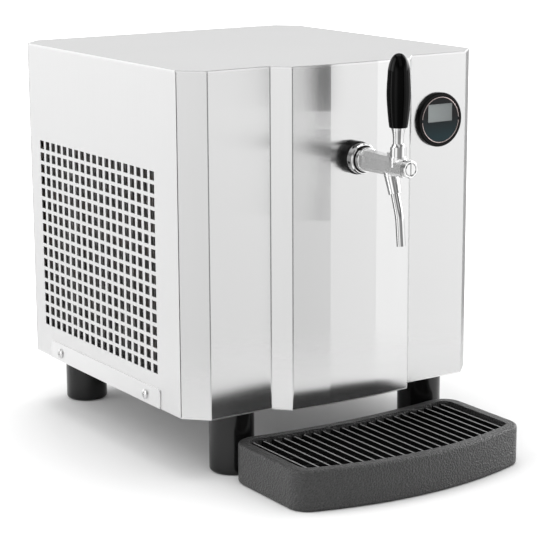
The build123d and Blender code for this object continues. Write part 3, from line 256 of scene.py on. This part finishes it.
def cast_tap(name):
    """Polished, apart from the satin barrel between the nut and the plug."""
    finish = Finish(name, {"Metallic": 1.0})
    along = finish.axis("Y")
    barrel = (along < barrel_start_y) * (along > barrel_end_y)
    barrel = barrel * (finish.axis("Z") > tap_z - barrel_half_height)
    grain = finish.noise(scale=1400.0, detail=3.0)
    satin = finish.mixed(grain, grey(0.78), grey(0.92))
    finish.set("Base Color", finish.mixed(barrel, grey(0.86), satin))
    finish.set("Roughness", barrel * finish.ranged(grain, 0.14, 0.28) + 0.06)
    finish.bump(grain * barrel, distance=0.00004, strength=0.5)
    return finish.material


def spanner_nut(name):
    """Polished, with painted shade in the spanner holes and in the seam round the tap's shoulder.
    """
    finish = Finish(name, {"Metallic": 1.0})
    along = finish.axis("Y")
    reach = (finish.axis("X") ** 2.0 + (finish.axis("Z") - tap_z) ** 2.0) ** 0.5
    holes = (along > nut_hole_y - nut_hole_radius) * (along < nut_hole_y + nut_hole_radius)
    holes = holes * (reach < nut_radius - nut_hole_shade_depth)
    seam = (along < nut_front_y + seam_shade_depth) * (reach < shoulder_radius + seam_shade_width)
    painted_shade = finish.limited(holes + seam)
    cloud = finish.noise(scale=140.0, detail=3.0)
    plate = finish.mixed(cloud, grey(0.8), grey(0.86))
    # Painted shade: near-black inside the spanner holes and in the seam at the nut's front face
    finish.set("Base Color", finish.mixed(painted_shade, plate, grey(0.015)))
    finish.set("Roughness", finish.ranged(cloud, 0.05, 0.08) + painted_shade * 0.5)
    return finish.material


def grained_tray(name):
    """Black plastic with a hide grain."""
    finish = Finish(name, {"Metallic": 0.0, "Specular IOR Level": 0.6})
    warp = finish.noise(scale=300.0, detail=2.0)
    pits = finish.cells(scale=480.0)
    fine = finish.noise(scale=1300.0, detail=2.0)
    hide = pits * 0.8 + warp * 0.5 + fine * 0.3
    finish.set("Base Color", finish.mixed(hide, grey(0.012), grey(0.045)))
    finish.set("Roughness", finish.ranged(warp, 0.3, 0.4))
    finish.bump(hide, distance=0.0013)
    return finish.material


def teal_fade_window(name):
    """Black at the top of the display's window, fading to dark teal at the bottom."""
    finish = Finish(name, {"Metallic": 0.0, "Roughness": 0.07, "Specular IOR Level": 0.2})
    black = (0.003, 0.004, 0.005, 1)
    teal = (0.008, 0.03, 0.037, 1)
    drop = finish.fall(finish.axis("Z"), end=window_teal_end_z, slope=45.0)
    finish.set("Base Color", finish.mixed(drop, black, teal))
    return finish.material


def resting_screen(name):
    """A screen that is switched off, with faint level lines and painted shade darkening its right
    side.
    """
    finish = Finish(name, {"Metallic": 0.0})
    pale = (0.33, 0.36, 0.36, 1)
    dark = (0.2, 0.22, 0.22, 1)
    line = (0.42, 0.45, 0.45, 1)
    level_lines = finish.stretched((300.0, 300.0, 2600.0))
    lines = finish.noise(scale=1.0, detail=2.0, vector=level_lines)
    # Painted shade: the screen turns darker towards its right side
    across = finish.rise(finish.axis("X"), start=screen_shade_start_x, slope=30.0)
    tone = finish.mixed(across, pale, dark)
    finish.set("Base Color", finish.mixed(lines * 0.4, tone, line))
    finish.set("Roughness", finish.ranged(lines, 0.25, 0.35))
    return finish.material


def poured_foam(name):
    """Cream foam with fine pores."""
    finish = Finish(name, {"Metallic": 0.0, "Roughness": 0.9})
    pores = finish.cells(scale=900.0)
    finish.set("Base Color", finish.mixed(pores, (0.72, 0.67, 0.55, 1), (0.6, 0.54, 0.42, 1)))
    finish.bump(pores, distance=0.0004, strength=0.8)
    return finish.material


# Finishes: one for each slot, and others for the pieces that differ from their slot
upright = (1100.0, 1100.0, 9.0)
lengthways = (9.0, 1100.0, 1100.0)
front_steel = brushed_sheet(
    "front_steel", tone=0.68, roughness=0.16, anisotropy=1.0, streak=upright, depth=0.00001
)
side_steel = brushed_sheet(
    "side_steel", tone=0.78, roughness=0.32, anisotropy=0.8, streak=upright, depth=0.00002
)
flat_steel = brushed_sheet(
    "flat_steel", tone=0.74, roughness=0.3, anisotropy=0.0, streak=lengthways, depth=0.00001
)
screw_steel = polished_metal("screw_steel", grey(0.72), roughness=0.2, spread=0.08)
fitting_steel = polished_metal("fitting_steel", grey(0.7), roughness=0.06, spread=0.04)
ring_metal = polished_metal("ring_metal", (0.55, 0.46, 0.45, 1), roughness=0.28)
grille_plastic = moulded_plastic("grille_plastic", 0.008, roughness=0.16, spread=0.04)
# Light grey for the slat ridges: a painted highlight on what is the same black plastic as the slats
worn_plastic = moulded_plastic("worn_plastic", 0.24, roughness=0.2, spread=0.04, gloss=1.0)

slot_finish = {
    "stainless": side_steel,
    "screw_steel": screw_steel,
    "foot_black": moulded_plastic(
        "foot_plastic", 0.006, roughness=0.16, spread=0.03, grain=200.0, depth=0.000004, gloss=0.45
    ),
    "tap_chrome": polished_metal("chrome_plate", grey(0.8), roughness=0.05),
    "spout_steel": fitting_steel,
    "collar_black": moulded_plastic("collar_plastic", 0.003, roughness=0.08, gloss=0.2),
    "handle_black": moulded_plastic(
        "handle_plastic", 0.001, roughness=0.03, spread=0.02, grain=200.0, depth=0.000002, gloss=0.1
    ),
    "seal_rubber": moulded_plastic("seal_rubber", 0.02, roughness=0.6),
    "valve_brass": polished_metal("valve_brass", (0.78, 0.6, 0.3, 1), roughness=0.25),
    "bezel_black": moulded_plastic("bezel_plastic", 0.002, roughness=0.12, gloss=0.12),
    "window_dark": teal_fade_window("window_print"),
    "screen_grey": resting_screen("screen_glass"),
    "tray_black": grained_tray("tray_plastic"),
    "fin_aluminium": polished_metal("fin_aluminium", grey(0.7), roughness=0.35, spread=0.1),
    "copper": polished_metal("copper_tube", (0.72, 0.42, 0.28, 1), roughness=0.3, spread=0.1),
    "zinc_sheet": polished_metal("zinc_sheet", grey(0.5), roughness=0.45, spread=0.15),
    "motor_grey": moulded_plastic("motor_enamel", 0.2, roughness=0.4),
    "fan_plastic": moulded_plastic("fan_plastic", 0.02, roughness=0.45),
    "foam": poured_foam("poured_foam"),
    "compressor_black": moulded_plastic(
        "compressor_enamel", 0.015, roughness=0.3, spread=0.1, grain=900.0, depth=0.00003
    ),
    "box_black": moulded_plastic("box_plastic", 0.018, roughness=0.38),
    "hose_grey": moulded_plastic("hose_plastic", 0.5, roughness=0.4),
}
node_finish = {
    "front_panel": front_steel,
    "top_panel": flat_steel,
    "base_tray": flat_steel,
    "tap_body": cast_tap("tap_casting"),
    "coupling_nut": spanner_nut("spanner_nut"),
    "drip_grille": grille_plastic,
}
for part in frame["record"]["subparts"]:
    name = part["node"]
    nodes[name].data.materials.clear()
    nodes[name].data.materials.append(node_finish.get(name, slot_finish[part["material_slot"]]))


class Recipe(Graph):
    """A Geometry Nodes tree with named sizes, which leaves plain meshes behind."""

    def __init__(self, name, sizes):
        super().__init__(bpy.data.node_groups.new(name, "GeometryNodeTree"))
        face = self.tree.interface
        face.new_socket("Geometry", in_out="INPUT", socket_type="NodeSocketGeometry")
        self.identifiers = {}
        for label, value in sizes.items():
            kind = "NodeSocketInt" if isinstance(value, int) else "NodeSocketFloat"
            socket = face.new_socket(label, in_out="INPUT", socket_type=kind)
            self.identifiers[label] = socket.identifier
        face.new_socket("Geometry", in_out="OUTPUT", socket_type="NodeSocketGeometry")
        self.entry = self.tree.nodes.new("NodeGroupInput")
        self.sizes = sizes

    def given(self, label):
        return Value(self, self.entry.outputs[label])

    def vector(self, x=0.0, y=0.0, z=0.0):
        return self.make("ShaderNodeCombineXYZ", {}, {0: x, 1: y, 2: z})

    def place(self):
        return self.make("GeometryNodeInputPosition", {}, {})

    def attribute(self, name, kind):
        sockets = {"Name": name}
        return self.make("GeometryNodeInputNamedAttribute", {"data_type": kind}, sockets)

    def moved(self, geometry, position):
        sockets = {"Geometry": geometry, "Position": position}
        return self.make("GeometryNodeSetPosition", {}, sockets)

    def laid(self, geometry, translation=(0, 0, 0), rotation=(0, 0, 0)):
        sockets = {"Geometry": geometry, "Translation": translation, "Rotation": rotation}
        return self.make("GeometryNodeTransform", {}, sockets)

    def circle(self, radius, resolution):
        sockets = {"Resolution": resolution, "Radius": radius}
        return self.make("GeometryNodeCurvePrimitiveCircle", {}, sockets, "Curve")

    def swept(self, path, profile):
        sockets = {"Curve": path, "Profile Curve": profile, "Fill Caps": True}
        return self.make("GeometryNodeCurveToMesh", {}, sockets)

    def repeated(self, points, instance, **sockets):
        sockets = {"Points": points, "Instance": instance, **sockets}
        return self.make("GeometryNodeInstanceOnPoints", {}, sockets)

    def close(self, geometry, material):
        real = self.make("GeometryNodeRealizeInstances", {}, {0: geometry})
        sockets = {"Geometry": real, "Material": material}
        self.end("NodeGroupOutput", self.make("GeometryNodeSetMaterial", {}, sockets))

    def piece(self, name, start, body, slot):
        thing = bpy.data.objects.new(name, start)
        scene.collection.objects.link(thing)
        modifier = thing.modifiers.new("recipe", "NODES")
        modifier.node_group = self.tree
        for label, value in self.sizes.items():
            modifier[self.identifiers[label]] = value
        shaped = thing.evaluated_get(bpy.context.evaluated_depsgraph_get())
        mesh = bpy.data.meshes.new_from_object(shaped)
        thing.modifiers.clear()
        thing.data = mesh
        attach(thing, body)
        return thing


def screw_seats():
    """A point for each screw on the flanges and the rear panel, with the way it faces."""
    places = [(side * flange_x, y, screw_z) for side in (-1, 1) for y in flange_screw_y]
    facings = [(side, 0, 0) for side in (-1, 1) for _ in flange_screw_y]
    rear_places = [(x, back_y, z) for x in rear_screw_x for z in rear_screw_z]
    places += rear_places
    facings += [(0, 1, 0)] * len(rear_places)
    mesh = bpy.data.meshes.new("screw_seats")
    mesh.from_pydata(places, [], [])
    attribute = mesh.attributes.new("facing", "FLOAT_VECTOR", "POINT")
    for index, facing in enumerate(facings):
        attribute.data[index].vector = facing
    return mesh


def pan_head_screws():
    """Domed heads with a cross recess."""
    sizes = {"Head radius": 0.0055, "Head height": 0.0014, "Crown": 0.0014, "Recess": 0.0012}
    screws = Recipe("pan_head_screw", sizes)
    radius, height, crown, recess = (screws.given(label) for label in sizes)
    disc = screws.make(
        "GeometryNodeMeshCylinder",
        {},
        {
            "Vertices": 32,
            "Side Segments": 3,
            "Fill Segments": 6,
            "Radius": radius,
            "Depth": height,
        },
        "Mesh",
    )
    spot = screws.place()
    x, y, z = (screws.part_of(spot, letter) for letter in "XYZ")
    reach = (x ** 2.0 + y ** 2.0) ** 0.5 / radius
    dome = (z > 0.0) * crown * (1.0 - reach * reach)
    head = screws.moved(disc, screws.vector(x, y, z + dome + height * 0.5))
    arm_length = radius * 1.1
    arm_depth = height * 1.2
    arms = []
    for size_x, size_y in ((arm_length, recess), (recess, arm_length)):
        size = screws.vector(size_x, size_y, arm_depth)
        arm = screws.make("GeometryNodeMeshCube", {}, {"Size": size}, "Mesh")
        arms.append(screws.laid(arm, translation=screws.vector(z=height + crown)))
    cross = screws.make("GeometryNodeMeshBoolean", {"operation": "UNION"}, {"Mesh 2": arms})
    cut = {"Mesh 1": head, "Mesh 2": cross}
    head = screws.make("GeometryNodeMeshBoolean", {"operation": "DIFFERENCE"}, cut)
    faces_met = screws.make("GeometryNodeInputMeshVertexNeighbors", {}, {}, "Face Count")
    loose = {"Geometry": head, "Selection": faces_met < 1.0}
    head = screws.make("GeometryNodeDeleteGeometry", {"domain": "POINT"}, loose)
    facing = {"Vector": screws.attribute("facing", "FLOAT_VECTOR")}
    outwards = screws.make("FunctionNodeAlignRotationToVector", {"axis": "Z"}, facing)
    heads = screws.repeated(screws.given("Geometry"), head, Rotation=outwards)
    screws.close(heads, screw_steel)
    return screws.piece("screw_heads", screw_seats(), "cabinet", "screw_steel")


def split_ring():
    """The thin ring in two halves, printed round the display's window."""
    sizes = {"Ring radius": 0.0250, "Wire radius": 0.0005, "Break": 0.14}
    ring = Recipe("display_ring", sizes)
    radius, wire_radius, gap = (ring.given(label) for label in sizes)
    arc = ring.make(
        "GeometryNodeCurveArc",
        {},
        {
            "Resolution": 48,
            "Radius": radius,
            "Start Angle": gap * 0.5,
            "Sweep Angle": math.pi - gap,
        },
        "Curve",
    )
    upper = ring.swept(arc, ring.circle(wire_radius, resolution=8))
    lower = ring.laid(upper, rotation=(0, 0, math.pi))
    both = ring.make("GeometryNodeJoinGeometry", {}, {0: [upper, lower]})
    ring.close(ring.laid(both, display_place, rotation=(math.pi / 2, 0, 0)), ring_metal)
    ring.piece("display_ring", bpy.data.meshes.new("ring_seed"), "cabinet", "bezel_black")


def rounded_ridges():
    """A ridge along each of the grille's slats, between the tray's two bowed edges."""
    sizes = {
        "Count": 22,
        "Pitch": 0.012,
        "Ridge radius": 0.0011,
        "Flatness": 0.35,
        "Rise": 0.0003,
        "Back bow radius": 0.77875,
        "Front bow radius": 0.41367,
        "Edge": 0.0155,
    }
    ridges = Recipe("slat_ridges", sizes)
    count, pitch, radius, flatness, rise, back_bow, front_bow, edge = (
        ridges.given(label) for label in sizes
    )
    row = ridges.make(
        "GeometryNodeMeshLine",
        {},
        {
            "Count": count,
            "Start Location": ridges.vector((count - 1.0) * pitch * -0.5),
            "Offset": ridges.vector(pitch),
        },
    )
    across = ridges.part_of(ridges.place(), "X")

    def bowed(bow):
        return bow - (bow * bow - across * across) ** 0.5

    back_end = bowed(back_bow) + tray_back_y - edge
    front_end = bowed(front_bow) + tray_front_y + edge
    ridge_z = grille_top_z + rise - radius * flatness
    row = ridges.moved(row, ridges.vector(across, (back_end + front_end) * 0.5, ridge_z))
    lengths = {"Geometry": row, "Name": "slat_run", "Value": back_end - front_end}
    row = ridges.make("GeometryNodeStoreNamedAttribute", {"data_type": "FLOAT"}, lengths)
    ends = {"Start": (0, -0.5, 0), "End": (0, 0.5, 0)}
    run = ridges.make("GeometryNodeCurvePrimitiveLine", {}, ends)
    bar = ridges.swept(run, ridges.circle(radius, resolution=12))
    scale = ridges.vector(1.0, ridges.attribute("slat_run", "FLOAT"), flatness)
    # The ridges carry the painted highlight along the slat tops
    ridges.close(ridges.repeated(row, bar, Scale=scale), worn_plastic)
    ridges.piece("slat_ridges", bpy.data.meshes.new("ridge_seed"), "grille", "tray_black")


def wound_thread():
    """The thread on the drink inlet."""
    sizes = {"Radius": 0.0079, "Length": 0.024, "Turns": 15.0, "Ridge": 0.00045}
    thread = Recipe("inlet_thread", sizes)
    radius, length, turns, ridge = (thread.given(label) for label in sizes)
    helix = thread.make(
        "GeometryNodeCurveSpiral",
        {},
        {
            "Resolution": 36,
            "Rotations": turns,
            "Start Radius": radius,
            "End Radius": radius,
            "Height": length,
        },
    )
    wound = thread.swept(helix, thread.circle(ridge, resolution=6))
    thread.close(thread.laid(wound, thread_start, rotation=(-math.pi / 2, 0, 0)), fitting_steel)
    thread.piece("inlet_thread", bpy.data.meshes.new("thread_seed"), "cabinet", "spout_steel")


screw_heads = pan_head_screws()
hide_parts("cover_screws")
split_ring()
rounded_ridges()
wound_thread()

# Floor
floor_half_width = 6
floor_tone = 0.8
glow_start = 0.25
glow_near = 0.03
glow_gain = 0.9
mirror_end = 0.32
mirror_end_slope = 2.5


def pale_floor():
    """Keeps the shadow, turns white further out, and gives way to the room in reflections."""
    mesh = bpy.data.meshes.new("floor")
    corners = [(-1, -1), (1, -1), (1, 1), (-1, 1)]
    corners = [(x * floor_half_width, y * floor_half_width, 0) for x, y in corners]
    mesh.from_pydata(corners, [], [(0, 1, 2, 3)])
    floor = bpy.data.objects.new("floor", mesh)
    scene.collection.objects.link(floor)
    material = bpy.data.materials.new("floor_white")
    material.use_nodes = True
    material.node_tree.nodes.clear()
    mesh.materials.append(material)
    ground = Graph(material.node_tree)
    seen = ground.light_path("Is Camera Ray")
    mirrored = ground.light_path("Is Glossy Ray")
    spot = {0: ground.object_place()}
    distance = ground.make("ShaderNodeVectorMath", {"operation": "LENGTH"}, spot, "Value")
    around = ground.limited(distance - glow_start) * glow_gain + glow_near
    matte = ground.make("ShaderNodeBsdfDiffuse", {}, {"Color": grey(floor_tone)})
    glow = ground.make("ShaderNodeEmission", {}, {"Color": grey(1.0), "Strength": seen * around})
    lit = ground.make("ShaderNodeAddShader", {}, {0: matte, 1: glow})
    open_air = ground.make("ShaderNodeBsdfTransparent", {}, {})
    faded = ground.rise(distance, start=mirror_end, slope=mirror_end_slope) * mirrored
    surface = ground.make("ShaderNodeMixShader", {}, {0: faded, 1: lit, 2: open_air})
    ground.end("ShaderNodeOutputMaterial", surface)


# Room round the part: brightness by bearing, 0 degrees in front and 90 to the right
room_tones = [
    *[(-180, 1.2), (-150, 1.35), (-138, 1.3)],  # left wall
    *[(-135, 0.12), (-127, 0.12)],  # dark opening
    *[(-119, 0.9), (-117, 3), (-111, 3), (-109, 0.6)],  # left strip light
    *[(-82, 0.6), (-72, 1.3), (-62, 1.34), (-50, 0.65)],  # left front screen
    *[(-40, 0.35), (-6, 0.3), (5, 0.3)],  # dim front
    *[(7, 0.1), (14, 0.1)],  # dark opening
    *[(17, 0.98), (30, 1.11), (40, 1.25), (45, 1.56), (52, 1.5)],  # right front screen
    *[(60, 0.9), (77, 0.9)],  # right wall
    *[(80, 1.8), (91, 1.8)],  # right strip light
    *[(94, 0.45), (128, 0.45)],  # shaded corner
    *[(134, 0.86), (180, 0.88)],  # back wall
]
brightest = 5.0
daylight_level = 2.0
ceiling_shade = 0.8
ceiling_front_drop = 0.3
backdrop_shade = 0.88
right_screen_level = 3.0
front_screen_level = 0.7


def studio_room():
    """White to the camera, soft light from above, and the shaded room in reflections."""
    world = bpy.data.worlds.new("studio")
    scene.world = world
    world.use_nodes = True
    world.cycles.sampling_method = "NONE"
    world.node_tree.nodes.clear()
    room = Graph(world.node_tree)
    seen = room.light_path("Is Camera Ray")
    mirrored = room.light_path("Is Glossy Ray")
    heading = room.make("ShaderNodeTexCoord", {}, {}, "Generated")
    east, north, height = (room.part_of(heading, letter) for letter in "XYZ")
    bearing = room.math("ARCTAN2", east, 0.0 - north) / (2 * math.pi) + 0.5
    stops = [(turn / 360 + 0.5, grey(tone / brightest)) for turn, tone in room_tones]
    walls = room.make("ShaderNodeValToRGB", {"stops": stops}, {0: bearing})
    front = room.fall(north, end=0.0, slope=3.0) * ceiling_front_drop
    ceiling = 1.0 - room.rise(height + front, start=0.4, slope=4.0) * ceiling_shade
    horizon = room.ranged(room.rise(height, start=-0.3, slope=3.3), low=0.9, high=1.1)
    behind = room.rise(east, start=-0.1, slope=3.0) * room.rise(north, start=0.65, slope=6.0)
    backdrop = 1.0 - behind * room.fall(height, end=-0.03, slope=20.0) * backdrop_shade
    low_band = room.rise(height, start=0.02, slope=20.0) * room.fall(height, end=0.4, slope=10.0)
    right_screen = room.rise(east, start=0.7, slope=6.0) * low_band * right_screen_level
    middle = room.fall(east, end=0.15, slope=5.0) * room.rise(east, start=-0.6, slope=5.0)
    high_front = room.fall(north, end=0.0, slope=5.0) * room.rise(height, start=0.25, slope=6.0)
    front_screen = middle * high_front * front_screen_level
    reflected = walls * ceiling * horizon * backdrop * brightest + right_screen + front_screen
    daylight = room.limited(height) ** 2.0 * daylight_level
    level = reflected * mirrored + (1.0 - mirrored - seen) * daylight + seen
    sky = room.make("ShaderNodeBackground", {}, {"Color": grey(1.0), "Strength": level})
    room.end("ShaderNodeOutputWorld", sky)


def softbox(name, place, aim, width, height, brightness):
    data = bpy.data.lights.new(name, "AREA")
    data.shape = "RECTANGLE"
    data.size = width
    data.size_y = height
    data.energy = brightness * math.pi * width * height
    lamp = bpy.data.objects.new(name, data)
    turn = (Vector(aim) - Vector(place)).to_track_quat("-Z", "Y")
    lamp.matrix_world = Matrix.Translation(place) @ turn.to_matrix().to_4x4()
    scene.collection.objects.link(lamp)


def photo_camera(place, azimuth, elevation, roll, lens):
    """A camera at the photograph's angle, with its turns in degrees."""
    azimuth, elevation, roll = (math.radians(angle) for angle in (azimuth, elevation, roll))
    level_reach = math.cos(elevation)
    back = Vector(
        (
            math.sin(azimuth) * level_reach,
            -math.cos(azimuth) * level_reach,
            math.sin(elevation),
        )
    )
    right = Vector((0, 0, 1)).cross(back).normalized()
    up = back.cross(right)
    level_axis = math.cos(roll) * right + math.sin(roll) * up
    plumb_axis = math.cos(roll) * up - math.sin(roll) * right
    turn = Matrix((level_axis, plumb_axis, back)).transposed().to_4x4()
    data = bpy.data.cameras.new("camera")
    data.sensor_width = 36
    data.lens = lens
    camera = bpy.data.objects.new("camera", data)
    camera.matrix_world = Matrix.Translation(place) @ turn
    scene.collection.objects.link(camera)
    scene.camera = camera


pale_floor()
studio_room()
cabinet_middle = (0, 0, 0.2)
tap_front = (0, -0.2, 0.3)
softbox("overhead_softbox", (0.2, 0.3, 2.4), cabinet_middle, width=1.6, height=1.6, brightness=1.6)
softbox("right_softbox", (1.6, -0.1, 1.2), tap_front, width=1.2, height=1.5, brightness=1.7)
softbox("left_softbox", (-1.46, 0.4, 1.2), tap_front, width=1.2, height=1.5, brightness=2.0)
photo_camera(
    (-1.14118, -1.74295, 0.65214), azimuth=-33.34, elevation=12.94, roll=-0.23, lens=120.15
)
scene.view_settings.view_transform = "Standard"
